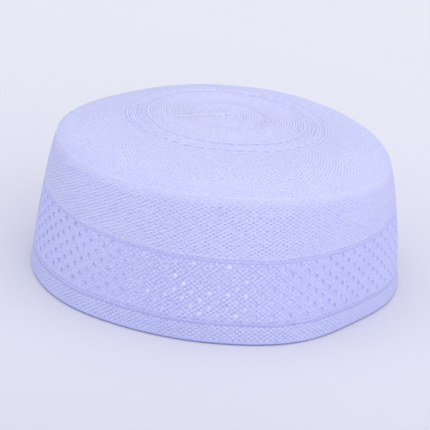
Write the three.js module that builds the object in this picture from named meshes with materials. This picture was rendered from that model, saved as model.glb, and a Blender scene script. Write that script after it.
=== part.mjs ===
// A round knitted prayer cap, standing on its rim as it would on a table.
// Four cloth pieces meet edge to edge: a folded hem, an eyelet band, a mesh side wall and a domed top.
// Millimetres, +Z up, front of the cap towards -Y, origin under the middle of the rim.

import * as THREE from 'three';

// Driving dimensions: outside radii, at the table and at each seam
const rimRadius = 92.5;
const hemSeamRadius = 91.4;
const bandSeamRadius = 87.8;
const shoulderRadius = 83.3;

// Driving dimensions: heights of the four pieces, from the table up
const hemHeight = 10.1;
const bandHeight = 31.3;
const sideHeight = 24.2;
const crownRise = 14.7;

// The whole top leans: its front edge stands higher and its right edge lower than the middle
const frontRise = 1.6;
const rightDrop = 2.2;

// Cloth: one layer in the walls and the top, two layers in the folded hem
const clothWall = 1.8;
const hemWall = 2.8;
const seamGap = 0.3;
const edgeRound = 0.5;
const foldRound = 0.8;

// How far each wall piece swells outwards halfway up
const bandBulge = 0.3;
const sideBulge = 0.5;

// Two shallow channels round the top, where the long open stitches lie
const outerRingRadius = 49.0;
const innerRingRadius = 41.8;
const ringWidth = 1.0;
const ringDepth = 0.5;
const ringBank = 0.4;

// The dome is a superellipse: the first power flattens its middle, the second squares its shoulder
const crownFlatness = 2.92;
const crownSquareness = 1.62;

// Soft cloth doesn't stand in a true circle. Each row is a place round the cap, in degrees from
// the front towards the right. base and top are how far the rim and the shoulder bulge there,
// as shares of their radii. lift is the rise of the shoulder as a share of the side wall's height,
// and seam the rise of the band's upper seam as a share of the band's height.
const bends = [
  { turn: -180, base: 0, top: 0.003, lift: 0.033, seam: -0.018 },
  { turn: -135, base: -0.001, top: -0.004, lift: -0.08, seam: 0.029 },
  { turn: -100, base: -0.004, top: 0.002, lift: -0.062, seam: 0.056 },
  { turn: -75, base: 0.014, top: 0.001, lift: -0.051, seam: 0.041 },
  { turn: -50, base: 0.017, top: -0.004, lift: -0.047, seam: 0.002 },
  { turn: -25, base: -0.007, top: -0.006, lift: -0.007, seam: -0.038 },
  { turn: 0, base: -0.001, top: -0.002, lift: 0.048, seam: -0.057 },
  { turn: 25, base: 0.017, top: 0.006, lift: 0.072, seam: -0.045 },
  { turn: 50, base: -0.028, top: 0.008, lift: 0.04, seam: -0.015 },
  { turn: 75, base: 0.002, top: -0.001, lift: -0.031, seam: 0.014 },
  { turn: 100, base: 0.008, top: -0.005, lift: -0.033, seam: 0.021 },
  { turn: 135, base: 0.001, top: 0.001, lift: 0.07, seam: -0.001 },
];

// Rows across the dome, as shares of the way from the shoulder to the outer channel,
// from the inner channel to the middle, and of the shoulder radius for the inside
const shoulderRows = [0.03, 0.09, 0.18, 0.32, 0.52, 0.76];
const middleRows = [0.3, 0.62, 0.86];
const insideRows = [0.985, 0.95, 0.88, 0.76, 0.58, 0.36, 0.14];

const segments = 80;

// Heights of the seams, worked out from the pieces below them
const hemTop = hemHeight;
const bandTop = hemTop + bandHeight;
const shoulderTop = bandTop + sideHeight;

// The row of the table at an index that may run past either end, a whole turn further on
function bendRow(index) {
  const laps = Math.floor(index / bends.length);
  const row = bends[index - laps * bends.length];
  return { ...row, turn: row.turn + laps * 360 };
}

// One column of the table at an angle in degrees, on a smooth curve through its rows
function bendAt(column, angle) {
  const index = bends.findLastIndex((row) => row.turn <= angle);
  const [before, from, to, after] = [-1, 0, 1, 2].map((step) => bendRow(index + step));
  const span = to.turn - from.turn;
  const t = (angle - from.turn) / span;
  const slopeFrom = ((to[column] - before[column]) / (to.turn - before.turn)) * span;
  const slopeTo = ((after[column] - from[column]) / (after.turn - from.turn)) * span;
  const toShare = t * t * (3 - 2 * t);
  const easeIn = t * (1 - t) * (1 - t);
  const easeOut = t * t * (1 - t);
  return from[column] * (1 - toShare) + to[column] * toShare + slopeFrom * easeIn - slopeTo * easeOut;
}

// The bends at each of the segments' corners, counted round from the back
const corners = Array.from({ length: segments }, (unused, i) => {
  const angle = (i / segments) * 360 - 180;
  return {
    turn: THREE.MathUtils.degToRad(angle),
    base: bendAt('base', angle),
    top: bendAt('top', angle),
    lift: bendAt('lift', angle) * sideHeight,
    seam: bendAt('seam', angle) * bandHeight,
  };
});

// One row of a shell: its radius and height on the plain round form, and how far it follows
// the top's plan, the band's seam and the shoulder. reach is its share of the way out from the middle.
function wallRow(radius, height) {
  const upBand = THREE.MathUtils.clamp((height - hemTop) / bandHeight, 0, 1);
  const upSide = THREE.MathUtils.clamp((height - bandTop) / sideHeight, 0, 1);
  const topShare = height / shoulderTop;
  return { radius, height, topShare, seamShare: upBand - upSide, liftShare: upSide, reach: 1 };
}

function domeRow(radius, height, outsideRadius) {
  const reach = outsideRadius / shoulderRadius;
  return { radius, height, topShare: 1, seamShare: 0, liftShare: 1, reach };
}

function bentPoint(row, corner) {
  const base = row.radius * (1 + corner.base * (1 - row.topShare));
  const top = Math.min(row.radius, shoulderRadius) * corner.top * row.topShare;
  const radius = base + top;
  const lean = frontRise * Math.cos(corner.turn) - rightDrop * Math.sin(corner.turn);
  const lift = corner.lift * row.reach ** 2 + lean * row.reach;
  const height = row.height + corner.seam * row.seamShare + lift * row.liftShare;
  return [radius * Math.sin(corner.turn), -radius * Math.cos(corner.turn), height];
}

// A closed skin through rows that run up the outside and back down the inside.
// A row of no radius is a single point, where the rows on that side close.
function loft(rows) {
  const positions = [];
  const rings = rows.map((row) => {
    const first = positions.length / 3;
    const count = row.radius === 0 ? 1 : segments;
    for (const corner of corners.slice(0, count)) {
      positions.push(...bentPoint(row, corner));
    }
    return { first, count };
  });
  const faces = [];
  const vertex = (ring, i) => ring.first + (i % ring.count);
  rings.forEach((lower, index) => {
    const upper = rings[(index + 1) % rings.length];
    for (let i = 0; i < segments; i++) {
      if (lower.count > 1) {
        faces.push(vertex(lower, i), vertex(lower, i + 1), vertex(upper, i + 1));
      }
      if (upper.count > 1) {
        faces.push(vertex(lower, i), vertex(upper, i + 1), vertex(upper, i));
      }
    }
  });
  const geometry = new THREE.BufferGeometry();
  geometry.setAttribute('position', new THREE.Float32BufferAttribute(positions, 3));
  geometry.setIndex(faces);
  geometry.computeVertexNormals();
  return geometry;
}

// A ring of cloth between two heights, with its four edges eased off
function wallPiece({ bottom, top, bottomRadius, topRadius, wall, bulge, bottomRound }) {
  const outsideRadius = (height) => {
    const share = (height - bottom) / (top - bottom);
    const straight = bottomRadius + (topRadius - bottomRadius) * share;
    return straight + bulge * 4 * share * (1 - share);
  };
  const outside = (height, inset) => wallRow(outsideRadius(height) - inset, height);
  const inside = (height, inset) => wallRow(outsideRadius(height) - wall + inset, height);
  const third = (top - bottom) / 3;
  return loft([
    outside(bottom, bottomRound),
    outside(bottom + bottomRound, 0),
    outside(bottom + third, 0),
    outside(top - third, 0),
    outside(top - edgeRound, 0),
    outside(top, edgeRound),
    inside(top, edgeRound),
    inside(top - edgeRound, 0),
    inside(top - third, 0),
    inside(bottom + bottomRound, 0),
    inside(bottom, bottomRound),
  ]);
}

function domeHeight(radius) {
  const share = Math.pow(radius / shoulderRadius, crownFlatness);
  return shoulderTop + crownRise * Math.pow(1 - share, 1 / crownSquareness);
}

// The point on the dome's inside that lies one cloth thickness under this radius
function domeInside(radius) {
  const step = shoulderRadius * 0.001;
  const run = domeHeight(radius - step) - domeHeight(radius + step);
  const length = Math.hypot(run, 2 * step);
  const insideRadius = radius - (clothWall * run) / length;
  const insideHeight = domeHeight(radius) - (clothWall * 2 * step) / length;
  return domeRow(Math.max(insideRadius, 0), insideHeight, radius);
}

function channelRows(ringRadius) {
  const half = ringWidth / 2;
  return [
    { radius: ringRadius + half + ringBank, depth: 0 },
    { radius: ringRadius + half, depth: ringDepth },
    { radius: ringRadius - half, depth: ringDepth },
    { radius: ringRadius - half - ringBank, depth: 0 },
  ];
}

function crownTop() {
  const outside = (radius, depth) => domeRow(radius, domeHeight(radius) - depth, radius);
  const shoulderSpan = shoulderRadius - outerRingRadius;
  const edge = wallRow(shoulderRadius - edgeRound, shoulderTop);
  const innerEdge = wallRow(shoulderRadius - clothWall, shoulderTop);
  return loft([
    edge,
    ...shoulderRows.map((share) => outside(shoulderRadius - share * shoulderSpan, 0)),
    ...channelRows(outerRingRadius).map((row) => outside(row.radius, row.depth)),
    ...channelRows(innerRingRadius).map((row) => outside(row.radius, row.depth)),
    ...middleRows.map((share) => outside(innerRingRadius * (1 - share), 0)),
    outside(0, 0),
    domeRow(0, domeHeight(0) - clothWall, 0),
    ...insideRows.toReversed().map((share) => domeInside(shoulderRadius * share)),
    innerEdge,
  ]);
}

function cloth(name, geometry, colour) {
  const material = new THREE.MeshStandardMaterial({ color: colour, roughness: 0.9, metalness: 0 });
  const mesh = new THREE.Mesh(geometry, material);
  mesh.name = name;
  return mesh;
}

const hem = cloth('hem', wallPiece({
  bottom: 0,
  top: hemTop,
  bottomRadius: rimRadius,
  topRadius: hemSeamRadius,
  wall: hemWall,
  bulge: 0,
  bottomRound: foldRound,
}), 0xb6b8ec);

const band = cloth('band', wallPiece({
  bottom: hemTop + seamGap,
  top: bandTop,
  bottomRadius: hemSeamRadius,
  topRadius: bandSeamRadius,
  wall: clothWall,
  bulge: bandBulge,
  bottomRound: edgeRound,
}), 0xbec1f4);

const crownSide = cloth('crown_side', wallPiece({
  bottom: bandTop + seamGap,
  top: shoulderTop - seamGap,
  bottomRadius: bandSeamRadius,
  topRadius: shoulderRadius,
  wall: clothWall,
  bulge: sideBulge,
  bottomRound: edgeRound,
}), 0xc6caf8);

const crownTopPiece = cloth('crown_top', crownTop(), 0xced2fb);

// The shell is shifted so that the middle of its outline stands on the origin
const shell = new THREE.Group();
shell.add(hem, band, crownSide, crownTopPiece);
const middle = new THREE.Box3().setFromObject(shell).getCenter(new THREE.Vector3());
shell.position.set(-middle.x, -middle.y, 0);

const prayerCap = new THREE.Group();
prayerCap.add(shell);

export default prayerCap;
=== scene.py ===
# Round knitted prayer cap, standing open side down on a pale table.
# Metres, +Z up, front of the cap towards -Y. The cloth is drawn flat and then laid onto the cap's form.
import math
import bmesh
import bpy
import numpy as np
from mathutils import Matrix, Vector


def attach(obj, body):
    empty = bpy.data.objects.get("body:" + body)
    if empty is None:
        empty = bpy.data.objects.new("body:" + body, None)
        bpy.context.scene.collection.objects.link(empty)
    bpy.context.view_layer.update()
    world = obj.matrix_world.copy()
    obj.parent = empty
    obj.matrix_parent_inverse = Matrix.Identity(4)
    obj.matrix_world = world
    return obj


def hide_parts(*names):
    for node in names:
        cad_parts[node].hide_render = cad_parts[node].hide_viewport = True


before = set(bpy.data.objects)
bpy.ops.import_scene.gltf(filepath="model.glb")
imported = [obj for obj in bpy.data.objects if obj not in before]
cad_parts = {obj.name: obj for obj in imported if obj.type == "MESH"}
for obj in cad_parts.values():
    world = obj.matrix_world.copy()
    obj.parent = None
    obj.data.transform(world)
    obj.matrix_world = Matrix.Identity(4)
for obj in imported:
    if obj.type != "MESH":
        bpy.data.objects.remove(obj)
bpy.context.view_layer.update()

mm = 0.001

# the round form under all the cloth, in millimetres, the same as the solids
capForm = {
    "rimRadius": 92.5,
    "hemSeamRadius": 91.4,
    "bandSeamRadius": 87.8,
    "shoulderRadius": 83.3,
    "hemTop": 10.1,
    "bandTop": 41.4,
    "shoulderTop": 65.6,
    "crownRise": 14.7,
    "frontRise": 1.6,
    "rightDrop": 2.2,
    "bandBulge": 0.3,
    "sideBulge": 0.5,
    "crownFlatness": 2.92,
    "crownSquareness": 1.62,
    "middle": (-0.203, -0.037),
    "domeSteps": (6000, 1500),  # points on the dome's outline as drawn, and as kept
    # waves of soft cloth: count round the cap, size in mm, turn and twist
    "ripples": ((5, 0.16, 1.3, 0.06), (9, 0.1, 4.0, -0.1), (17, 0.06, 2.2, 0.15)),
    "ripplesFrom": (12, 60),  # path from the middle over which they grow on the top
    # the same for how unevenly the knitting runs, the columns in degrees and the rest in mm
    "columnsWander": ((7, 0.1, 0.0, 0.12), (19, 0.07, 1.0, -0.3)),
    "columnsFrom": (0, 12),  # heights over which it grows
    "rowsWander": ((11, 0.14, 0.5, 0.02), (23, 0.11, 2.0, 0.2)),
    "rowsFrom": (2, 9),
    "rowsTo": (52, 64),  # and over which it ends
    "roundsWander": ((3, 0.16, 0.7, 0.05), (8, 0.09, 2.1, 0.3)),
    "roundsFrom": (3, 15),
    "roundsTo": (60, 80),
    "squeeze": 0.03,  # the rounds of the top lie a little nearer the middle on the left and right
    "squeezeTo": (48, 82),
    # a soft dent at the back on the left
    "dent": {"turn": -122, "path": 73, "across": 17, "along": 7, "depth": 1.2, "edge": 5},
}

# how the soft cloth leaves the true circle: turn from the front, base, top, lift, seam
bends = (
    (-180, 0, 0.003, 0.033, -0.018),
    (-135, -0.001, -0.004, -0.08, 0.029),
    (-100, -0.004, 0.002, -0.062, 0.056),
    (-75, 0.014, 0.001, -0.051, 0.041),
    (-50, 0.017, -0.004, -0.047, 0.002),
    (-25, -0.007, -0.006, -0.007, -0.038),
    (0, -0.001, -0.002, 0.048, -0.057),
    (25, 0.017, 0.006, 0.072, -0.045),
    (50, -0.028, 0.008, 0.04, -0.015),
    (75, 0.002, -0.001, -0.031, 0.014),
    (100, 0.008, -0.005, -0.033, 0.021),
    (135, 0.001, 0.001, 0.07, -0.001),
)

knitting = {
    "looseness": 0.5,  # share by which one stitch differs from the next
    "crestRise": 0.12,  # mm that the raised stitches stand up
    "eyeletFloor": -0.55,  # the second layer seen through an eyelet is paler, and is painted nearly as pale as a raised stitch's painted highlight
    "backFrom": 1.5,  # mm, deeper than this is the back of the cloth
    "sharpAbove": 62,  # degrees, edges sharper than this stay sharp
}
slack = 0.01  # mm, places nearer than this count as one
chance = np.random.default_rng(11)


# the form

def smoothStep(value, low, high):
    share = np.clip((value - low) / (high - low), 0, 1)
    return share * share * (3 - 2 * share)


def loosen(places):
    # no two stitches are pressed in or raised by quite the same amount,
    # but the two ends of a strip have to meet
    along = places[:, 0]
    ends = (along < along.min() + slack) | (along > along.max() - slack)
    change = knitting["looseness"] * chance.uniform(-1, 1, len(places))
    change[ends] = 0
    return places[:, 2] * (1 + change)


def bendAt(column, turn):
    # a smooth curve through one column of the bends, turn in degrees
    lap = np.array([360.0, 0, 0, 0, 0])
    rows = np.array(bends, dtype=float)
    rows = np.vstack([rows[-1] - lap, rows, rows[0] + lap, rows[1] + lap])
    place, value = rows[:, 0], rows[:, column]
    turn = (turn + 180.0) % 360.0 - 180.0
    i = np.clip(np.searchsorted(place, turn, side="right") - 1, 1, len(bends))
    span = place[i + 1] - place[i]
    t = (turn - place[i]) / span
    slopeIn = (value[i + 1] - value[i - 1]) / (place[i + 1] - place[i - 1]) * span
    slopeOut = (value[i + 2] - value[i]) / (place[i + 2] - place[i]) * span
    ease = t * t * (3 - 2 * t)
    curve = slopeIn * t * (1 - t) ** 2 - slopeOut * t * t * (1 - t)
    return value[i] * (1 - ease) + value[i + 1] * ease + curve


def wander(turn, climb, waves):
    # slow waves round the cap, turn in degrees and climb in mm up the outside
    change = 0
    for count, size, start, twist in waves:
        change = change + size * np.sin(count * np.radians(turn) + start + climb * twist)
    return change


def dentDepth(turn, path):
    # a soft hollow pressed into the top near the shoulder
    dent = capForm["dent"]
    away = ((turn - dent["turn"] + 180) % 360 - 180) / dent["across"]
    return dent["depth"] * np.exp(-away ** 2 - ((path - dent["path"]) / dent["along"]) ** 2)


def bentPlaces(radius, height, turn, topShare, seamShare, liftShare, reach):
    # points of the round form moved by the bends, in metres
    angle = np.radians(turn)
    bandHeight = capForm["bandTop"] - capForm["hemTop"]
    sideHeight = capForm["shoulderTop"] - capForm["bandTop"]
    around = radius * (1 + bendAt(1, turn) * (1 - topShare))
    around = around + np.minimum(radius, capForm["shoulderRadius"]) * bendAt(2, turn) * topShare
    lean = capForm["frontRise"] * np.cos(angle) - capForm["rightDrop"] * np.sin(angle)
    lift = bendAt(3, turn) * sideHeight * reach ** 2 + lean * reach
    height = height + bendAt(4, turn) * bandHeight * seamShare + lift * liftShare
    middle = capForm["middle"]
    x = around * np.sin(angle) + middle[0]
    y = -around * np.cos(angle) + middle[1]
    return np.column_stack([x, y, height]) * mm


def wallPlaces(turn, height, out):
    # the side of the cap, from the table to the shoulder
    hemTop, bandTop, top = capForm["hemTop"], capForm["bandTop"], capForm["shoulderTop"]
    between = smoothStep(height, *capForm["rowsFrom"]) * (1 - smoothStep(height, *capForm["rowsTo"]))
    sideways = wander(turn, height, capForm["columnsWander"]) * smoothStep(height, *capForm["columnsFrom"])
    height = height + wander(turn, height, capForm["rowsWander"]) * between
    turn = turn + sideways
    corners = ("rimRadius", "hemSeamRadius", "bandSeamRadius", "shoulderRadius")
    radii = [capForm[name] for name in corners]
    bandShare = np.clip((height - hemTop) / (bandTop - hemTop), 0, 1)
    sideShare = np.clip((height - bandTop) / (top - bandTop), 0, 1)
    radius = np.interp(height, [0, hemTop, bandTop, top], radii) + out
    radius = radius + capForm["bandBulge"] * 4 * bandShare * (1 - bandShare)
    radius = radius + capForm["sideBulge"] * 4 * sideShare * (1 - sideShare)
    radius = radius + wander(turn, height, capForm["ripples"]) * smoothStep(height, 0, hemTop)
    return bentPlaces(radius, height, turn, height / top, bandShare - sideShare, sideShare, 1)


def domeCurve():
    # the dome's outline from the middle to the shoulder: path walked, radius, height and outward normal
    drawn, kept = capForm["domeSteps"]
    angle = np.linspace(math.pi / 2, 0, drawn)
    radius = capForm["shoulderRadius"] * np.cos(angle) ** (2 / capForm["crownFlatness"])
    rise = capForm["crownRise"] * np.sin(angle) ** (2 / capForm["crownSquareness"])
    height = capForm["shoulderTop"] + rise
    radius[0] = 0
    steps = np.hypot(np.diff(radius), np.diff(height))
    path = np.concatenate([[0], np.cumsum(steps)])
    even = np.linspace(0, path[-1], kept)
    radius, height = np.interp(even, path, radius), np.interp(even, path, height)
    outward, upward = -np.gradient(height, even), np.gradient(radius, even)
    length = np.hypot(outward, upward)
    return even, radius, height, outward / length, upward / length


domePath, domeRadius, domeHeight, domeOutward, domeUpward = domeCurve()
rimPath = domePath[-1]


def domePlaces(flat):
    # the top of the cap: distance from the middle is measured along the cloth
    path = np.minimum(np.hypot(flat[:, 0], flat[:, 1]), rimPath)
    turn = np.degrees(np.arctan2(flat[:, 0], -flat[:, 1]))
    squeeze = capForm["squeeze"] * np.sin(np.radians(turn)) ** 2
    path = path * (1 - squeeze * (1 - smoothStep(path, *capForm["squeezeTo"])))
    uneven = wander(turn, path, capForm["roundsWander"]) * smoothStep(path, *capForm["roundsFrom"])
    path = path + uneven * (1 - smoothStep(path, *capForm["roundsTo"]))
    swell = wander(turn, capForm["shoulderTop"] + rimPath - path, capForm["ripples"])
    out = flat[:, 2] + swell * smoothStep(path, *capForm["ripplesFrom"])
    out = out - dentDepth(turn, path) * (1 - smoothStep(path, rimPath - capForm["dent"]["edge"], rimPath))
    onForm = np.interp(path, domePath, domeRadius)
    radius = onForm + out * np.interp(path, domePath, domeOutward)
    height = np.interp(path, domePath, domeHeight) + out * np.interp(path, domePath, domeUpward)
    reach = onForm / capForm["shoulderRadius"]
    return bentPlaces(np.maximum(radius, 0), height, turn, 1, 0, 1, reach)


# working on a mesh

def clearSelection():
    if bpy.context.object and bpy.context.object.mode != "OBJECT":
        bpy.ops.object.mode_set(mode="OBJECT")
    bpy.ops.object.select_all(action="DESELECT")


def pick(piece):
    clearSelection()
    piece.select_set(True)
    bpy.context.view_layer.objects.active = piece


def nameNew(name):
    # the object that was just added
    piece = bpy.context.object
    piece.name = piece.data.name = name
    return piece


def openEdit(kind, selection):
    bpy.ops.object.mode_set(mode="EDIT")
    bpy.ops.mesh.select_mode(type=kind)
    bpy.ops.mesh.select_all(action=selection)


def closeEdit():
    bpy.ops.object.mode_set(mode="OBJECT")


def readPlaces(piece):
    places = np.empty(len(piece.data.vertices) * 3)
    piece.data.vertices.foreach_get("co", places)
    return places.reshape(-1, 3)


def writePlaces(piece, places):
    piece.data.vertices.foreach_set("co", places.ravel())
    piece.data.update()


def pressVertices(piece, mask, move):
    # moves the vertices that are true in the mask, in mm
    openEdit("VERT", "DESELECT")
    closeEdit()
    piece.data.vertices.foreach_set("select", mask)
    bpy.ops.object.mode_set(mode="EDIT")
    bpy.ops.transform.translate(value=move)
    closeEdit()


def selectFaces(piece, test):
    # faces whose middle passes the test
    openEdit("FACE", "DESELECT")
    mesh = bmesh.from_edit_mesh(piece.data)
    for face in mesh.faces:
        face.select_set(test(face.calc_center_median()))
    bmesh.update_edit_mesh(piece.data)


def selectEdges(piece, test):
    # open edges whose two ends both pass the test
    openEdit("EDGE", "DESELECT")
    mesh = bmesh.from_edit_mesh(piece.data)
    for edge in mesh.edges:
        edge.select_set(edge.is_boundary and all(test(vertex.co) for vertex in edge.verts))
    bmesh.update_edit_mesh(piece.data)


def addCloth(name, width, height, columns, rows):
    # a flat rectangle of cloth from the origin, drawn in millimetres
    clearSelection()
    bpy.ops.mesh.primitive_grid_add(
        x_subdivisions=columns, y_subdivisions=rows, size=1, location=(0.5, 0.5, 0))
    piece = nameNew(name)
    bpy.ops.object.transform_apply(location=True, rotation=False, scale=False)
    openEdit("VERT", "SELECT")
    bpy.ops.transform.resize(value=(width, height, 1), center_override=(0, 0, 0))
    closeEdit()
    return piece


def repeat(piece, count, step):
    pick(piece)
    array = piece.modifiers.new("repeat", "ARRAY")
    array.count = count
    array.use_relative_offset = False
    array.use_constant_offset = True
    array.constant_offset_displace = step
    array.use_merge_vertices = True
    array.merge_threshold = slack
    bpy.ops.object.modifier_apply(modifier=array.name)


def pullEdges(piece, test, moves):
    # the open edge that passes the test is pulled out step by step
    selectEdges(piece, test)
    for move in moves:
        bpy.ops.mesh.extrude_region_move(TRANSFORM_OT_translate={"value": move})
    closeEdit()


def cornerVertices(mesh):
    corners = np.empty(len(mesh.loops), dtype=int)
    mesh.loops.foreach_get("vertex_index", corners)
    return corners


def writePlan(piece, uv):
    # the UV map that the knitting follows, in millimetres of cloth
    mesh = piece.data
    while mesh.uv_layers:
        mesh.uv_layers.remove(mesh.uv_layers[0])
    mesh.uv_layers.new(name="knit").data.foreach_set("uv", uv.ravel())


def writePaintedShading(piece, plan):
    # painted shading: 1, the darkest painted shade, where a place is pressed in by darkAt, and down to -1,
    # a painted highlight, where it stands up and catches the light
    flat = readPlaces(piece)
    depth = -flat[:, 2]
    pressed, raised = np.minimum(depth / plan["darkAt"], 1), np.maximum(depth / knitting["crestRise"], -1)
    value = np.where(depth > 0, pressed, raised)
    if "floorFrom" in plan:
        value[depth > plan["floorFrom"]] = knitting["eyeletFloor"]
    plain = depth > knitting["backFrom"]
    if "plainBelow" in plan:
        plain |= flat[:, 1] < plan["plainBelow"]
    value[plain] = 0
    piece.data.attributes.new("paintedShading", "FLOAT", "POINT").data.foreach_set("value", value)


def keepFlatPlan(piece, plan):
    writePlan(piece, readPlaces(piece)[cornerVertices(piece.data), :2])
    writePaintedShading(piece, plan)


def frontShare(turn):
    # 1 at the front, falling to 0.3 at the sides, turn in degrees
    return 0.3 + 0.7 * np.maximum(np.cos(np.radians(turn)), 0)


def changePaintedShading(piece, change):
    # paints shade or highlight onto the cloth as a whole, darker or paler, whatever its stitches do
    paintedShading = piece.data.attributes["paintedShading"].data
    shade = np.empty(len(paintedShading))
    paintedShading.foreach_get("value", shade)
    paintedShading.foreach_set("value", shade + change)


def keepRoundPlan(piece, plan):
    # on the top the knitting goes round: u is the way round in wales, v the path from the middle
    flat, mesh = readPlaces(piece), piece.data
    corners = cornerVertices(mesh)
    sides = np.empty(len(mesh.polygons), dtype=int)
    mesh.polygons.foreach_get("loop_total", sides)
    centres = np.empty(len(mesh.polygons) * 3)
    mesh.polygons.foreach_get("center", centres)
    centres = np.repeat(centres.reshape(-1, 3), sides, axis=0)
    middle = np.degrees(np.arctan2(centres[:, 0], -centres[:, 1]))
    turn = np.degrees(np.arctan2(flat[corners, 0], -flat[corners, 1]))
    turn = middle + (turn - middle + 180) % 360 - 180
    path = np.hypot(centres[:, 0], centres[:, 1])
    zones = plan["wales"]
    wales = np.select([path < edge for edge, count in zones], [count for edge, count in zones])
    path = np.hypot(flat[corners, 0], flat[corners, 1])
    writePlan(piece, np.column_stack([turn / 360 * wales, path]))
    writePaintedShading(piece, plan)


def closeCloth(piece):
    pick(piece)
    openEdit("VERT", "SELECT")
    bpy.ops.mesh.remove_doubles(threshold=slack * mm)
    bpy.ops.mesh.normals_make_consistent(inside=False)
    closeEdit()
    bpy.ops.object.shade_smooth_by_angle(angle=math.radians(knitting["sharpAbove"]))


# materials

def addNode(tree, kind, settings=None, inputs=None):
    node = tree.nodes.new(kind)
    for name, value in (settings or {}).items():
        setattr(node, name, value)
    for name, value in (inputs or {}).items():
        if isinstance(value, bpy.types.NodeSocket):
            tree.links.new(value, node.inputs[name])
        else:
            node.inputs[name].default_value = value
    return node


def mathNode(tree, operation, first, second=0.0):
    return addNode(tree, "ShaderNodeMath", {"operation": operation}, {0: first, 1: second}).outputs[0]


def mixNode(tree, share, first, second, blend="MIX"):
    node = addNode(tree, "ShaderNodeMix", {"data_type": "RGBA", "blend_type": blend})
    for socket, value in ((node.inputs[0], share), (node.inputs[6], first), (node.inputs[7], second)):
        if isinstance(value, bpy.types.NodeSocket):
            tree.links.new(value, socket)
        else:
            socket.default_value = value
    return node.outputs[2]


def rangeNode(tree, value, start, end, least=0.0, most=1.0, kind="LINEAR"):
    node = addNode(tree, "ShaderNodeMapRange", {"interpolation_type": kind}, {
        "Value": value, "From Min": start, "From Max": end, "To Min": least, "To Max": most})
    return node.outputs[0]


def noiseNode(tree, place, noise):
    inputs = dict(zip(("Scale", "Detail", "Roughness"), noise))
    return addNode(tree, "ShaderNodeTexNoise", inputs={"Vector": place, **inputs}).outputs[0]


def humps(tree, value, turn):
    return mathNode(tree, "ABSOLUTE", mathNode(tree, "SINE", mathNode(tree, "MULTIPLY", value, turn)))


def knitStitches(tree, look):
    # rows of small V stitches over the flat plan, 0 between two stitches and 1 on top of one
    plan = addNode(tree, "ShaderNodeUVMap", {"uv_map": "knit"}).outputs["UV"]
    axes = addNode(tree, "ShaderNodeSeparateXYZ", inputs={0: plan})
    across = mathNode(tree, "MULTIPLY", axes.outputs["X"], 1 / look["wale"])
    along = mathNode(tree, "MULTIPLY", axes.outputs["Y"], 1 / look["course"])
    side = mathNode(tree, "PINGPONG", across, 0.5)
    slanted = mathNode(tree, "ADD", along, mathNode(tree, "MULTIPLY", side, look["slant"]))
    yarn = humps(tree, slanted, math.pi)
    column = humps(tree, side, 2 * math.pi)
    return mathNode(tree, "MULTIPLY", yarn, mathNode(tree, "POWER", column, 0.5))


def knitMaterial(name, look):
    material = bpy.data.materials.new(name)
    material.use_nodes = True
    tree = material.node_tree
    tree.nodes.clear()
    output = addNode(tree, "ShaderNodeOutputMaterial")
    stitches = knitStitches(tree, look)
    place = addNode(tree, "ShaderNodeTexCoord").outputs["Object"]
    cloudy, fibres = noiseNode(tree, place, look["patchNoise"]), noiseNode(tree, place, look["fibreNoise"])
    patches = rangeNode(tree, cloudy, *look["patchRange"])
    colour = mixNode(tree, patches, (*look["shade"], 1), (*look["tint"], 1))
    speckle = rangeNode(tree, fibres, *look["fibreRange"], look["speckle"], 0.0)
    colour = mixNode(tree, speckle, colour, (*look["fibreShade"], 1), "MULTIPLY")
    between = rangeNode(tree, stitches, 0.0, look["gapWidth"], 1 - look["stitchShade"])
    colour = mixNode(tree, 1.0, colour, between, "MULTIPLY")
    paintedShading = addNode(tree, "ShaderNodeAttribute", {"attribute_name": "paintedShading"}).outputs["Fac"]
    # painted shade on pressed places and a painted highlight on raised ones
    pressed = mathNode(tree, "MULTIPLY", mathNode(tree, "MAXIMUM", paintedShading, 0.0), look["holeShade"])
    raised = mathNode(tree, "MULTIPLY", mathNode(tree, "MINIMUM", paintedShading, 0.0), -look["highlightShare"])
    colour = mixNode(tree, pressed, colour, (*look["hole"], 1))
    colour = mixNode(tree, raised, colour, (*look["highlightColour"], 1))
    relief = mathNode(tree, "ADD", stitches, mathNode(tree, "MULTIPLY", fibres, look["fuzz"]))
    bump = addNode(tree, "ShaderNodeBump", inputs={
        "Strength": look["bump"], "Distance": look["bumpDepth"], "Height": relief})
    roughness = rangeNode(tree, stitches, 0.0, 1.0, look["gapRoughness"], look["roughness"])
    cloth = addNode(tree, "ShaderNodeBsdfPrincipled", inputs={
        "Base Color": colour, "Roughness": roughness, "Normal": bump.outputs[0],
        "IOR": look["ior"], "Specular IOR Level": look["gloss"], "Sheen Weight": look["sheen"],
        "Sheen Roughness": look["sheenRoughness"], "Sheen Tint": (*look["sheenTint"], 1)})
    tree.links.new(cloth.outputs[0], output.inputs[0])
    return material


knitLook = {
    "wale": 1.4,  # width and height of a stitch in mm of cloth, on the top the width in wales
    "course": 1.1667,
    "slant": 1.3,
    "gapWidth": 0.5,  # how much of a stitch counts as the gap between two
    "stitchShade": 0.16,
    "patchNoise": (26.0, 3.0, 0.55),  # scale, detail and roughness
    "patchRange": (0.32, 0.68),
    "fibreNoise": (1500.0, 2.0, 0.6),
    "fibreRange": (0.3, 0.7),
    "fibreShade": (0.68, 0.69, 0.9),
    "speckle": 0.9,
    "hole": (0.36, 0.375, 0.78),  # colour of pressed stitches, partly the knit's darker gaps and partly painted shade
    "highlightColour": (0.82, 0.83, 1.0),  # and of raised ones, a painted highlight
    "fuzz": 0.5,
    "bump": 0.7,
    "bumpDepth": 0.00025,
    "roughness": 0.7,
    "gapRoughness": 0.92,
    "ior": 1.45,
    "gloss": 0.25,
    "sheen": 0.25,
    "sheenRoughness": 0.4,
    "sheenTint": (0.9, 0.92, 1.0),
}

# the top and the crown side are tinted paler than the band and the hem, partly the knit's own tone and
# partly painted light
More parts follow.
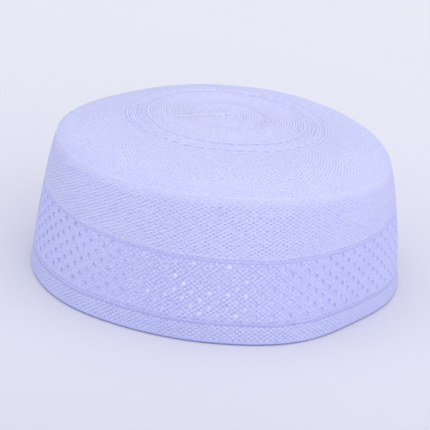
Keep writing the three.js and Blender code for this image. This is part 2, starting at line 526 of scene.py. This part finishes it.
hemLook = {
    **knitLook, "tint": (0.668, 0.688, 0.975), "shade": (0.637, 0.657, 0.965),
    "stitchShade": 0.3, "holeShade": 0.9, "highlightShare": 0.85}
eyeletLook = {
    **knitLook, "tint": (0.663, 0.679, 0.98), "shade": (0.637, 0.653, 0.97),
    "holeShade": 0.75, "highlightShare": 1.0}
meshLook = {
    **knitLook, "tint": (0.726, 0.742, 1.0), "shade": (0.7, 0.716, 0.995),
    "wale": 1.6, "course": 0.8, "hole": (0.37, 0.385, 0.9), "holeShade": 0.5, "highlightShare": 0.55}
topLook = {
    **knitLook, "tint": (0.736, 0.752, 0.995), "shade": (0.705, 0.72, 0.985),
    "wale": 1.0, "course": 1.4, "stitchShade": 0.22,
    "hole": (0.4, 0.41, 0.68), "holeShade": 0.58, "highlightShare": 0.8}
hemKnit = knitMaterial("hem_knit", hemLook)
eyeletKnit = knitMaterial("eyelet_knit", eyeletLook)
meshKnit = knitMaterial("mesh_knit", meshLook)
topKnit = knitMaterial("top_knit", topLook)
print("materials made")


def dress(piece, node, material):
    piece.data.materials.clear()
    piece.data.materials.append(material)
    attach(piece, "root")
    if node:
        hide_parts(node)
    print(piece.name, len(piece.data.polygons), "faces")


# what the strips of the wall share

def turnAt(plan, along):
    # turn from the front in degrees, for a distance along the strip
    return plan["startTurn"] + along / (plan["repeats"] * plan["width"]) * 360


def stitchKinds(places, plan, height, bottom=0):
    # 0 where a stitch of the diamond lattice is pressed in, 2 where one is raised and -1 between
    # the columns, with the column and row of each place
    column = np.round(places[:, 0] / plan["width"] * plan["columns"]).astype(int)
    row = np.round((places[:, 1] - bottom) / height * plan["rows"]).astype(int)
    return np.where(column % 3 == 0, (row + 2 * (column // 3)) % 4, -1), column, row


def layOnWall(piece, plan):
    # the strip goes round the cap: along becomes turn, up becomes height, thickness becomes out
    flat = readPlaces(piece)
    turn, height = turnAt(plan, flat[:, 0]), flat[:, 1]
    if "drift" in plan:
        size, low, high = plan["drift"]
        drift = size * np.sin(np.radians(turn))
        drift = drift * smoothStep(height, plan["bottom"], plan["bottom"] + low)
        drift = drift * (1 - smoothStep(height, plan["top"] - high, plan["top"]))
        height = height + drift
    writePlaces(piece, wallPlaces(turn, height, flat[:, 2]))


# hem: a plain band of double cloth, folded at the table

hemPlan = {
    "repeats": 67,  # the knitting's repeat, the same as the eyelets above
    "width": 8.4,
    "columns": 18,
    "bottom": 1.7,
    "top": 10.35,
    "rows": 17,
    "wall": 2.8,
    "startTurn": -182.1,
    "pitDepth": 0.38,
    "darkAt": 0.45,  # mm, pressed in by this much a stitch gets its darkest painted shade
    "calmSides": 0.35,
    "knitTop": 8.9,  # plain from here up to the seam
    "seamLine": 9.6,  # the lower of the twin seam lines
    "seamHalf": 0.3,
    "seamDepth": 0.22,
    # up and out, step by step
    "fold": ((-0.45, -0.06), (-0.5, -0.22), (-0.35, -0.45), (-0.25, -0.75),
             (-0.15, -0.77), (0.2, -0.3), (0.6, -0.19), (0.9, -0.06)),
    "plainBelow": 1.69,  # no stitches are pressed into the fold
    "foldShade": (0.9, 0.35, 1.0),  # a painted shadow darkens it towards the table: how much, and between which heights
    "foldWaves": ((7, 0.35, 0.4, 0), (16, 0.3, 2.0, 0)),
    "insideRows": 5,
}


def makeHem(plan):
    bottom, tall = plan["bottom"], plan["top"] - plan["bottom"]
    piece = addCloth("hem_cloth", plan["width"], tall, plan["columns"], plan["rows"])
    places = readPlaces(piece)
    places[:, 1] += bottom
    writePlaces(piece, places)
    repeat(piece, plan["repeats"], (plan["width"], 0, 0))
    places = readPlaces(piece)
    kinds = stitchKinds(places, plan, tall, bottom)[0]
    knitted = places[:, 1] < plan["knitTop"]
    seam = np.abs(places[:, 1] - plan["seamLine"]) < plan["seamHalf"]
    pressVertices(piece, (kinds == 0) & knitted, (0, 0, -plan["pitDepth"]))
    pressVertices(piece, (kinds == 2) & knitted, (0, 0, knitting["crestRise"]))
    pressVertices(piece, seam, (0, 0, -plan["seamDepth"]))
    places = readPlaces(piece)
    sideways = np.sin(np.radians(turnAt(plan, places[:, 0])))
    places[:, 2] = loosen(places) * (1 - plan["calmSides"] * sideways ** 4)
    places[places[:, 1] < bottom + slack, 2] = 0
    places[seam, 2] = -plan["seamDepth"]
    writePlaces(piece, places)
    rows = plan["insideRows"]
    steps = [(0, up, out) for up, out in plan["fold"]]
    steps += [(0, tall / rows, 0)] * rows + [(0, 0, plan["wall"])]
    pullEdges(piece, lambda place: place.y < bottom + slack, steps)
    keepFlatPlan(piece, plan)
    # painted shadow along the bottom of the fold, uneven round the cap
    flat = readPlaces(piece)
    shade, full, none = plan["foldShade"]
    uneven = 1 + wander(turnAt(plan, flat[:, 0]), 0, plan["foldWaves"])
    changePaintedShading(piece, shade * uneven * (1 - smoothStep(flat[:, 1], full, none)))
    layOnWall(piece, plan)
    closeCloth(piece)
    dress(piece, "hem", hemKnit)


makeHem(hemPlan)


# band: staggered eyelets in a fine ground

bandPlan = {
    "repeats": 67,
    "width": 8.4,
    "tileHeight": 7.0,
    "tileRows": 4,
    "columns": 18,
    "rows": 12,
    "eyelets": (0.25, 0.75),  # where the two of a tile stand, as shares of its width and height
    "eyeletRadius": 1.02,
    "eyeletReach": 1.2,  # all of an eyelet lies within this of its middle
    "eyeletSteps": ((0.42, 0.92), (0.28, 0.82)),  # depth and share of the width, down to the second layer
    "floorFrom": 0.6,  # mm, deeper than this is the second layer
    "groundFrom": 1.45,  # the ground is knitted from this far off the middle of an eyelet
    "lowestRow": -3,  # and above this row
    "pitDepth": 0.42,
    "darkAt": 0.4,
    "calmSides": 0.8,
    "closedTurn": -3.0,
    "closedReach": 30.0,
    "closedDepth": 0.35,
    "closedShares": (0.6, 0.8),  # the least that an eyelet keeps of that depth, and how much it varies
    "closedFrom": -0.2,  # mm, an eyelet's edge stays where it is
    "moodRows": 12,  # rows of eyelets that get numbers of their own, and some to spare
    "calmRight": 0.4,  # the right side's eyelets gape less than the left side's
    "unevenFloor": 1.3,
    "evenMood": 0.3,
    "darkFloor": 1.2,  # where eyelets gape their floors lie in shade
    "eyeletShade": 0.35,
    "below": (-0.583, -0.583, -0.583, -0.101, -0.35, -0.4),  # rows under the eyelets, down to the hem
    "above": (0.2, 0.3, 0.3, 0.35),
    "eyeletBottom": 12.95,
    "bottom": 10.35,
    "top": 42.1,
    "wall": 1.8,
    "startTurn": -182.1,
    # the eyelet rows sit a little higher on the left: how much, and how far from the two edges it ends
    "drift": (-0.57, 3, 2.2),
    "seamLines": (11.1, 40.95, 42.1),
    "seamHalf": 0.16,
    "seamDepth": 0.22,
    "insideRows": 3,
}


def lowerInside(piece, plan, topOut, bottomOut):
    # the back of the cloth hangs from the top edge down to the bottom one
    height, rows = readPlaces(piece)[:, 1], plan["insideRows"]
    fall = (height.max() - height.min()) / rows
    topEdge = height.max() - slack
    inward, outward = (0, 0, -plan["wall"] - topOut), (0, 0, plan["wall"] + bottomOut)
    pullEdges(piece, lambda place: place.y > topEdge, [inward] + [(0, -fall, 0)] * rows + [outward])


def openness(plan, along):
    # 0 where the band faces front and its eyelets lie nearly closed,
    # 1 where it curves away and they gape
    return 1 - np.exp(-((turnAt(plan, along) - plan["closedTurn"]) / plan["closedReach"]) ** 2)


def fromEyelet(plan, along, up):
    # distance to the middle of the nearest eyelet, two of them staggered in each tile
    width, tileHeight = plan["width"], plan["tileHeight"]
    along, up = along % width, up % tileHeight
    away = [np.hypot(along - width * share, up - tileHeight * share) for share in plan["eyelets"]]
    return np.min(away, axis=0)


def closeFrontEyelets(piece, plan):
    places = readPlaces(piece)
    along, up = places[:, 0], places[:, 1] - plan["eyeletBottom"]
    paintedShading = piece.data.attributes["paintedShading"].data
    shade = np.empty(len(places))
    paintedShading.foreach_get("value", shade)
    gape = openness(plan, along)
    inside = fromEyelet(plan, along, up) < plan["eyeletReach"]
    eyelet = inside & (places[:, 2] < plan["closedFrom"]) & (places[:, 2] > -knitting["backFrom"])
    # each eyelet has a number of its own, for how far it closes and how much light its floor catches
    across = plan["repeats"] * 2
    column = np.floor(along / (plan["width"] / 2)).astype(int) % across
    row = np.floor(up / (plan["tileHeight"] / 2)).astype(int)
    mood = chance.uniform(0, 1, (across, plan["moodRows"]))[column, row]
    least, spread = plan["closedShares"]
    closed = plan["closedDepth"] * (least + spread * mood)
    toRight = np.sin(2 * math.pi * along / (plan["repeats"] * plan["width"]) - math.pi)
    share = closed + (1 - closed) * gape * (1 - plan["calmRight"] * np.maximum(toRight, 0))
    # painted shade on the eyelets' walls and on the floors where they gape, and a painted highlight on the
    # floors at the front
    dark, floor = eyelet & (shade > 0), eyelet & (shade < 0)
    lit = 1 - (1 - gape) * plan["unevenFloor"] * (mood - plan["evenMood"]) - plan["darkFloor"] * gape
    places[eyelet, 2] *= share[eyelet]
    shade[dark] *= share[dark] * plan["eyeletShade"]
    shade[floor] *= lit[floor]
    paintedShading.foreach_set("value", shade)
    writePlaces(piece, places)


def makeBand(plan):
    width, tileHeight = plan["width"], plan["tileHeight"]
    piece = addCloth("band_cloth", width, tileHeight, plan["columns"], plan["rows"])
    for x, y in ((width * share, tileHeight * share) for share in plan["eyelets"]):
        def onEyelet(centre):
            return math.hypot(centre.x - x, centre.y - y) < plan["eyeletRadius"]
        selectFaces(piece, onEyelet)
        bpy.ops.mesh.region_to_loop()
        bpy.ops.transform.tosphere(value=1)
        selectFaces(piece, onEyelet)
        for depth, share in plan["eyeletSteps"]:
            bpy.ops.mesh.extrude_region_move(TRANSFORM_OT_translate={"value": (0, 0, -depth)})
            bpy.ops.transform.resize(value=(share, share, 1), center_override=(x, y, 0))
    closeEdit()
    repeat(piece, plan["tileRows"], (0, tileHeight, 0))
    repeat(piece, plan["repeats"], (width, 0, 0))
    topRow = plan["tileRows"] * tileHeight - slack
    pullEdges(piece, lambda place: place.y < slack, [(0, step, 0) for step in plan["below"]])
    pullEdges(piece, lambda place: place.y > topRow, [(0, step, 0) for step in plan["above"]])
    places = readPlaces(piece)
    kinds, column, row = stitchKinds(places, plan, tileHeight)
    knitted = (kinds >= 0) & (row > plan["lowestRow"]) & (row < plan["tileRows"] * plan["rows"])
    knitted &= fromEyelet(plan, places[:, 0], places[:, 1]) > plan["groundFrom"]
    ground = np.where(kinds == 0, -plan["pitDepth"], np.where(kinds == 2, knitting["crestRise"], 0))
    calm = 1 - plan["calmSides"] * openness(plan, places[:, 0])
    places[knitted, 2] = (ground * calm)[knitted]
    places[:, 2] = np.where(knitted, loosen(places), places[:, 2])
    places[:, 1] += plan["eyeletBottom"]
    for line in plan["seamLines"]:
        places[np.abs(places[:, 1] - line) < plan["seamHalf"], 2] = -plan["seamDepth"]
    writePlaces(piece, places)
    lowerInside(piece, plan, -plan["seamDepth"], 0)
    keepFlatPlan(piece, plan)
    closeFrontEyelets(piece, plan)
    layOnWall(piece, plan)
    closeCloth(piece)
    dress(piece, "band", eyeletKnit)


makeBand(bandPlan)


# crown side: fine diamond mesh up to the shoulder

sidePlan = {
    "repeats": 84,
    "width": 6.4,
    "columns": 12,
    "tileHeight": 3.2,
    "rows": 8,
    "tileRows": 7,
    "holeDepth": 0.47,
    "openHoleDepth": 0.63,  # every fourth hole is a more open one
    "darkAt": 0.6,
    "meshBottom": 42.9,
    "edgeRow": 0.4,  # height of a plain row at the edges
    "bottom": 42.1,
    "top": 65.6,
    "fadeFrom": 62.0,
    "paleFrom": 61.0,
    "paleTop": 0.28,  # the plain edge under the shoulder catches the light
    "strain": 0.04,  # the mesh is pulled flatter on the left than on the right
    "seamDepth": 0.22,
    "wall": 1.8,
    "startTurn": -180.0,
    "insideRows": 5,
}


def makeSide(plan):
    width, tileHeight, edgeRow = plan["width"], plan["tileHeight"], plan["edgeRow"]
    columns, rows, deeper = plan["columns"], plan["rows"], plan["openHoleDepth"] - plan["holeDepth"]
    piece = addCloth("crown_side_cloth", width, tileHeight, columns, rows)
    kinds, column, row = stitchKinds(readPlaces(piece), plan, tileHeight)
    opened = (column % columns == 0) & (row % rows == 0)
    opened |= (column % columns == columns // 2) & (row % rows == rows // 2)
    pressVertices(piece, kinds == 0, (0, 0, -plan["holeDepth"]))
    pressVertices(piece, (kinds == 0) & opened, (0, 0, -deeper))
    pressVertices(piece, kinds == 2, (0, 0, knitting["crestRise"]))
    repeat(piece, plan["tileRows"], (0, tileHeight, 0))
    repeat(piece, plan["repeats"], (width, 0, 0))
    places = readPlaces(piece)
    places[:, 1] += plan["meshBottom"]
    turn = turnAt(plan, places[:, 0])
    places[:, 2] = loosen(places) * (1 + plan["strain"] * np.sin(np.radians(turn)))
    places[:, 2] *= 1 - smoothStep(places[:, 1], plan["fadeFrom"], plan["top"] - edgeRow)
    low, high = places[:, 1].min() + slack, places[:, 1].max() - slack
    places[places[:, 1] < low, 2] = 0
    writePlaces(piece, places)
    pullEdges(piece, lambda place: place.y < low, [(0, -edgeRow, 0), (0, -edgeRow, -plan["seamDepth"])])
    pullEdges(piece, lambda place: place.y > high, [(0, plan["top"] - high - slack, 0)])
    lowerInside(piece, plan, 0, -plan["seamDepth"])
    keepFlatPlan(piece, plan)
    flat = readPlaces(piece)
    pale = plan["paleTop"] * frontShare(turnAt(plan, flat[:, 0]))
    changePaintedShading(piece, -pale * smoothStep(flat[:, 1], plan["paleFrom"], plan["top"]))
    layOnWall(piece, plan)
    closeCloth(piece)
    dress(piece, "crown_side", meshKnit)


makeSide(sidePlan)


# crown top: concentric rounds, two rings of long stitches and the closing

topPlan = {
    "meshSteps": 672,
    "roundSteps": 240,
    "closingSteps": 60,
    "underSteps": 120,
    "meshFrom": 52.0,
    "closingTo": 13.0,
    "meshRow": 0.45,
    "roundRow": 0.35,
    "underRow": 5.0,
    "holeDepth": 0.34,
    "roundDepth": (-0.22, -0.03, 0.07, -0.03),  # each round is a small ridge, four rows wide
    "stitchDepth": 0.2,
    "darkAt": 0.45,
    "calmShoulder": (0.7, 12.0, 8.0),  # it is drawn smooth: how much, and from where to where before it
    "rings": ((49.0, 48, 3), (41.8, 40, 4)),  # radius, slots, steps that each is long
    "slotHalf": 0.8,
    "slotDepth": 0.42,  # the long stitches gape at the front and back
    "slotCalm": 0.6,  # and this much less at the sides
    "ridgeRise": 0.08,  # the cloth inside a ring of slots stands up
    "ridgeShares": (0.2, 0.8),  # by this share at the front and back, and this much more at the sides
    "ridgeBetween": 0.35,  # and less where there is no slot
    "ridgeInside": 1.7,
    "ridgeWidth": 0.7,
    "shoulderShade": (0.17, 14.0, 3.0),  # painted shade: how much, and from where to where before the shoulder
    "paleShoulder": 0.3,  # the last 3 mm catch the light like the edge of the side below
    "paleMiddle": (0.14, 30.0, 46.0),  # the rounds inside the rings
    "spinStart": math.pi / 2,  # steps are counted from the right
    "firstRounds": (1.5, 5),  # the middle's rounds grow over this path
    "pucker": (9, 0.08, 3.0),  # folds round the closing, their height and reach
    "dimple": (0.5, 0.8),  # depth and reach of the closing itself
    "wall": 1.8,
    # out to this path, stitches a round
    "wales": ((4, 14), (8, 42), (18, 84), (36, 168), (52, 252), (200, 336)),
}


def drawProfile(name, places):
    # a line of points across the cloth, pulled out from one point
    clearSelection()
    bpy.ops.mesh.primitive_plane_add(size=0.1, location=(0, 0, 0))
    piece = nameNew(name)
    openEdit("VERT", "SELECT")
    bpy.ops.mesh.merge(type="CENTER")
    bpy.ops.mesh.select_all(action="SELECT")
    bpy.ops.transform.translate(value=places[0])
    for before, after in zip(places, places[1:]):
        step = tuple(b - a for a, b in zip(before, after))
        bpy.ops.mesh.extrude_region_move(TRANSFORM_OT_translate={"value": step})
    closeEdit()
    return piece


def spinProfile(piece, steps):
    pick(piece)
    openEdit("VERT", "SELECT")
    bpy.ops.mesh.spin(steps=steps, angle=2 * math.pi, center=(0, 0, 0), axis=(0, 0, 1))
    bpy.ops.mesh.select_all(action="SELECT")
    bpy.ops.mesh.remove_doubles(threshold=slack / 10)
    closeEdit()


def evenRows(start, end, step):
    count = max(1, round((end - start) / step))
    return [start + (end - start) * i / count for i in range(count + 1)]


def spinZone(name, rows, height, steps):
    zone = drawProfile(name, [(path, 0, height) for path in rows])
    spinProfile(zone, steps)
    return zone


def polarPlaces(piece, steps):
    # places, path from the middle and the step round that each vertex stands on
    places = readPlaces(piece)
    turn = np.degrees(np.arctan2(places[:, 1], places[:, 0]))
    return places, np.hypot(places[:, 0], places[:, 1]), np.round(turn / 360 * steps).astype(int) % steps


def pressMesh(piece, plan, rows):
    places, path, step = polarPlaces(piece, plan["meshSteps"])
    row = np.round((path - rows[0]) / (rows[-1] - rows[0]) * (len(rows) - 1)).astype(int)
    knitted = (row > 1) & (row < len(rows) - 2) & (step % 2 == 0)
    holes, crests = knitted & ((row + step) % 4 == 0), knitted & ((row + step) % 4 == 2)
    share, start, end = plan["calmShoulder"]
    calm = share * smoothStep(path, rimPath - start, rimPath - end)
    places[holes, 2] -= plan["holeDepth"] * (1 - calm[holes])
    places[crests, 2] += knitting["crestRise"] * (1 - calm[crests])
    places[:, 2] = loosen(places)
    writePlaces(piece, places)


def pressRounds(piece, plan):
    places, path, step = polarPlaces(piece, plan["roundSteps"])
    row = np.round(path / plan["roundRow"]).astype(int)
    places[:, 2] += np.array(plan["roundDepth"])[row % 4]
    stitches = (row % 4 == 0) & ((step // 2 + row // 4) % 2 == 0)
    places[stitches, 2] -= plan["stitchDepth"]
    places[:, 2] = loosen(places)
    sideways = np.sin(2 * math.pi * step / plan["roundSteps"] + plan["spinStart"]) ** 2
    least, more = plan["ridgeShares"]
    for radius, slots, length in plan["rings"]:
        centre = np.interp(radius, domeRadius, domePath)
        near = np.abs(path - centre) < plan["slotHalf"]
        beside = step % (plan["roundSteps"] // slots) < length
        ridge = np.exp(-((centre - path - plan["ridgeInside"]) / plan["ridgeWidth"]) ** 2)
        ridge = ridge * np.where(beside, 1, plan["ridgeBetween"])
        slot = near & beside
        places[near, 2] = 0
        places[:, 2] += plan["ridgeRise"] * ridge * (least + more * sideways)
        places[slot, 2] -= plan["slotDepth"] * (1 - plan["slotCalm"] * sideways[slot])
    writePlaces(piece, places)


def gatherClosing(piece, plan):
    places, path, step = polarPlaces(piece, plan["closingSteps"])
    row = np.round(path / plan["roundRow"]).astype(int)
    folds, height, reach = plan["pucker"]
    depth, width = plan["dimple"]
    turn = np.arctan2(places[:, 1], places[:, 0])
    places[:, 2] += np.array(plan["roundDepth"])[row % 4] * smoothStep(path, *plan["firstRounds"])
    places[:, 2] += height * np.cos(folds * turn) * (path / reach) * np.exp(1 - (path / reach) ** 2)
    places[:, 2] -= depth * np.exp(-(path / width) ** 2)
    writePlaces(piece, places)


def joinPieces(pieces):
    # all of them become the first
    clearSelection()
    for piece in pieces:
        piece.select_set(True)
    bpy.context.view_layer.objects.active = pieces[0]
    bpy.ops.object.join()
    return pieces[0]


def selectLoops(piece, loops):
    # open loops named by their path from the middle and their side of the cloth, 1 above and -1 under
    def onLoop(place):
        path, under = math.hypot(place.x, place.y), place.z < -topPlan["wall"] / 2
        return any(abs(path - where) < 2 * slack and under == (side < 0) for where, side in loops)
    pick(piece)
    selectEdges(piece, onLoop)


def bridgeLoops(piece, *loops):
    selectLoops(piece, loops)
    bpy.ops.mesh.bridge_edge_loops()
    closeEdit()


def closeMiddle(piece, where, side):
    selectLoops(piece, [(where, side)])
    bpy.ops.mesh.extrude_region_move(TRANSFORM_OT_translate={"value": (0, 0, 0)})
    bpy.ops.mesh.merge(type="CENTER")
    closeEdit()


def makeTop(plan):
    row = plan["roundRow"]
    meshRows = evenRows(plan["meshFrom"], rimPath, plan["meshRow"])
    roundRows = evenRows(plan["closingTo"], plan["meshFrom"] - row, row)
    closingRows = evenRows(row, plan["closingTo"] - row, row)
    underRows = [row * 4] + evenRows(plan["underRow"], rimPath, plan["underRow"])
    piece = spinZone("crown_top_cloth", meshRows, 0, plan["meshSteps"])
    pressMesh(piece, plan, meshRows)
    rounds = spinZone("rounds", roundRows, 0, plan["roundSteps"])
    pressRounds(rounds, plan)
    closing = spinZone("closing", closingRows, 0, plan["closingSteps"])
    gatherClosing(closing, plan)
    under = spinZone("under", underRows, -plan["wall"], plan["underSteps"])
    joinPieces([piece, rounds, closing, under])
    bridgeLoops(piece, (meshRows[0], 1), (roundRows[-1], 1))
    bridgeLoops(piece, (roundRows[0], 1), (closingRows[-1], 1))
    bridgeLoops(piece, (rimPath, 1), (rimPath, -1))
    closeMiddle(piece, closingRows[0], 1)
    closeMiddle(piece, underRows[0], -1)
    keepRoundPlan(piece, plan)
    # painted shade before the shoulder, a painted highlight on its last mm, stronger at the front, and the
    # middle paler
    flat = readPlaces(piece)
    path = np.hypot(flat[:, 0], flat[:, 1])
    shade, start, end = plan["shoulderShade"]
    paleness, paleTo, paleEnd = plan["paleMiddle"]
    change = shade * smoothStep(path, rimPath - start, rimPath - end)
    change = change - paleness * (1 - smoothStep(path, paleTo, paleEnd))
    pale = plan["paleShoulder"] * frontShare(np.degrees(np.arctan2(flat[:, 0], -flat[:, 1])))
    changePaintedShading(piece, change - (shade + pale) * smoothStep(path, rimPath - end, rimPath))
    writePlaces(piece, domePlaces(flat))
    closeCloth(piece)
    dress(piece, "crown_top", topKnit)


makeTop(topPlan)


# stitches: twin rows at both seams, and the short closing row on the top

stitchPlan = {
    "long": 2.0,
    "thick": 0.34,
    "gap": 0.42,
    "sides": 6,
    "rings": 4,
    "out": -0.1,
    "darkAt": 9.0,  # so deep that no stitch is painted with shade, though where a stitch stands up it gets the painted highlight
    "bandSeam": (40.95, 42.1),
    "hemSeam": (9.6, 11.1),
    "closingTurn": -70.0,
    "closingPath": (4.5, 28.0),
    "closingStep": 1.3,
    "closingLong": 1.9,
    "closingThick": 0.5,
    "closingSlant": 40.0,
    "closingStagger": 0.45,
    "closingOut": 0.08,
}


def addStitch(name, plan):
    clearSelection()
    bpy.ops.mesh.primitive_uv_sphere_add(segments=plan["sides"], ring_count=plan["rings"], radius=0.5)
    piece = nameNew(name)
    openEdit("VERT", "SELECT")
    size = (plan["long"], plan["thick"], plan["thick"])
    bpy.ops.transform.rotate(value=math.pi / 2, orient_axis="Y", center_override=(0, 0, 0))
    bpy.ops.transform.resize(value=size, center_override=(0, 0, 0))
    closeEdit()
    return piece


def sewSeam(name, heights, material, plan):
    rows = []
    around = hemPlan["repeats"] * hemPlan["width"]
    count = round(around / (plan["long"] + plan["gap"]))
    for index, height in enumerate(heights):
        row = addStitch(name, plan)
        repeat(row, count, (around / count, 0, 0))
        places = readPlaces(row)
        places += (index * around / count / 2, height, plan["out"])
        writePlaces(row, places)
        rows.append(row)
    piece = joinPieces(rows)
    keepFlatPlan(piece, plan)
    flat = readPlaces(piece)
    writePlaces(piece, wallPlaces(flat[:, 0] / around * 360 - 180, flat[:, 1], flat[:, 2]))
    pick(piece)
    bpy.ops.object.shade_smooth()
    dress(piece, None, material)


def sewClosing(plan):
    # short slanting stitches, left and right in turn, close the knitting on its way to the middle
    (start, end), step = plan["closingPath"], plan["closingStep"]
    count = round((end - start) / step)
    stitch = {**plan, "long": plan["closingLong"], "thick": plan["closingThick"]}
    rows = []
    for side in (1, -1):
        row = addStitch("closing_stitches", stitch)
        slant = side * math.radians(plan["closingSlant"])
        openEdit("VERT", "SELECT")
        bpy.ops.transform.rotate(value=slant, orient_axis="Z", center_override=(0, 0, 0))
        bpy.ops.transform.translate(value=(start + side * step / 4, side * plan["closingStagger"], 0))
        closeEdit()
        repeat(row, count, (step, 0, 0))
        rows.append(row)
    piece = joinPieces(rows)
    turn, places = math.radians(plan["closingTurn"]), readPlaces(piece)
    flat = np.column_stack([
        places[:, 0] * math.sin(turn) + places[:, 1] * math.cos(turn),
        -places[:, 0] * math.cos(turn) + places[:, 1] * math.sin(turn),
        places[:, 2] + plan["closingOut"]])
    writePlaces(piece, flat)
    keepFlatPlan(piece, plan)
    writePlaces(piece, domePlaces(flat))
    pick(piece)
    bpy.ops.object.shade_smooth()
    dress(piece, None, topKnit)


sewSeam("band_seam_stitches", stitchPlan["bandSeam"], eyeletKnit, stitchPlan)
sewSeam("hem_seam_stitches", stitchPlan["hemSeam"], hemKnit, stitchPlan)
sewClosing(stitchPlan)


# table, light and camera

tableLook = {
    # painted light on the table: darker near the camera and paler going back
    "near": (0.632, 0.632, 0.71),
    "far": (0.89, 0.905, 0.93),
    "turnsPale": (-0.3, 1.5),  # painted light, from near to far: from here to here, going back
    "frontShade": (0.95, -0.22, -0.09),  # painted shade on the strip nearest to the camera, and where it ends
    "width": 6.0,
    "back": 1.6,
    "rise": 3.0,
    "bend": 0.6,
    "bendSteps": 10,
    "roughness": 0.9,
    "gloss": 0.1,
}


def makeTable(look):
    # a flat sheet that turns up behind the cap
    clearSelection()
    middle = (0, look["back"] - look["width"] / 2, 0)
    bpy.ops.mesh.primitive_plane_add(size=look["width"], location=middle)
    table = nameNew("table")
    bpy.ops.object.transform_apply(location=True)
    angles = [math.pi / 2 * i / look["bendSteps"] for i in range(look["bendSteps"] + 1)]
    curve = [(look["bend"] * math.sin(angle), look["bend"] * (1 - math.cos(angle))) for angle in angles]
    moves = [(0, y - lowY, z - lowZ) for (lowY, lowZ), (y, z) in zip(curve, curve[1:])]
    pullEdges(table, lambda place: place.y > 0, moves + [(0, 0, look["rise"])])
    bpy.ops.object.shade_smooth()
    material = bpy.data.materials.new("table_paper")
    material.use_nodes = True
    tree = material.node_tree
    paper = tree.nodes["Principled BSDF"]
    place = addNode(tree, "ShaderNodeTexCoord").outputs["Object"]
    back = addNode(tree, "ShaderNodeSeparateXYZ", inputs={0: place}).outputs["Y"]
    # painted light and shade on the table
    paleness = rangeNode(tree, back, *look["turnsPale"])
    shade = mixNode(tree, paleness, (*look["near"], 1), (*look["far"], 1))
    darkest, start, end = look["frontShade"]
    front = rangeNode(tree, back, start, end, darkest, kind="SMOOTHSTEP")
    shade = mixNode(tree, 1.0, shade, front, "MULTIPLY")
    tree.links.new(shade, paper.inputs["Base Color"])
    paper.inputs["Roughness"].default_value = look["roughness"]
    paper.inputs["Specular IOR Level"].default_value = look["gloss"]
    table.data.materials.append(material)


makeTable(tableLook)

room = {
    "lamps": {
        "over": {"place": (0.1, -0.2, 1.3), "size": 1.6, "power": 3.5},
        "left": {"place": (-1.3, -0.5, 0.5), "size": 1.0, "power": 1.7},
        "right": {"place": (1.3, -0.4, 0.5), "size": 1.0, "power": 2.2},
        "front": {"place": (0.45, -1.4, 0.8), "size": 1.2, "power": 4.0},
    },
    "lampColour": (0.98, 0.98, 1.0),
    "lampAim": (0, 0, 0.04),
    "skyColour": (0.95, 0.955, 1.0),
    "skyStrength": 0.985,
}


def addLamp(name, lamp):
    clearSelection()
    bpy.ops.object.light_add(type="AREA", location=lamp["place"])
    light = nameNew(name + "_lamp")
    light.data.shape = "SQUARE"
    light.data.size = lamp["size"]
    light.data.energy = lamp["power"]
    light.data.color = room["lampColour"]
    aim = Vector(room["lampAim"]) - Vector(lamp["place"])
    light.rotation_euler = aim.to_track_quat("-Z", "Y").to_euler()


for name, lamp in room["lamps"].items():
    addLamp(name, lamp)

world = bpy.data.worlds.new("soft_room")
world.use_nodes = True
sky = world.node_tree.nodes["Background"]
sky.inputs["Color"].default_value = (*room["skyColour"], 1)
sky.inputs["Strength"].default_value = room["skyStrength"]
bpy.context.scene.world = world
bpy.context.scene.view_settings.view_transform = "Standard"

photoFrame = {
    "size": 430,  # pixels, the picture is square
    "focal": 1799.86,  # pixels
    "distance": 0.9,
    "aim": (-0.000203, -0.000037, 0.045),
    "down": 21.02,  # degrees below level
    "roll": 4.66,  # the picture's content turns clockwise
    "shift": (6.66, -33.34),  # pixels, right and down
    "sensor": 36.0,  # mm
    "clip": (0.01, 50),
}


def addCamera(plan):
    down, roll = math.radians(plan["down"]), math.radians(plan["roll"])
    back = Vector((0, -math.cos(down), math.sin(down)))
    clearSelection()
    bpy.ops.object.camera_add(location=Vector(plan["aim"]) + back * plan["distance"])
    camera = bpy.context.object
    camera.name = "photo_camera"
    look = Matrix.Rotation(roll, 4, back) @ (-back).to_track_quat("-Z", "Y").to_matrix().to_4x4()
    camera.rotation_euler = look.to_euler()
    camera.data.sensor_width = plan["sensor"]
    camera.data.lens = plan["focal"] / plan["size"] * plan["sensor"]
    camera.data.shift_x = -plan["shift"][0] / plan["size"]
    camera.data.shift_y = plan["shift"][1] / plan["size"]
    camera.data.clip_start, camera.data.clip_end = plan["clip"]
    bpy.context.scene.camera = camera


addCamera(photoFrame)
print("table, lamps and camera set")
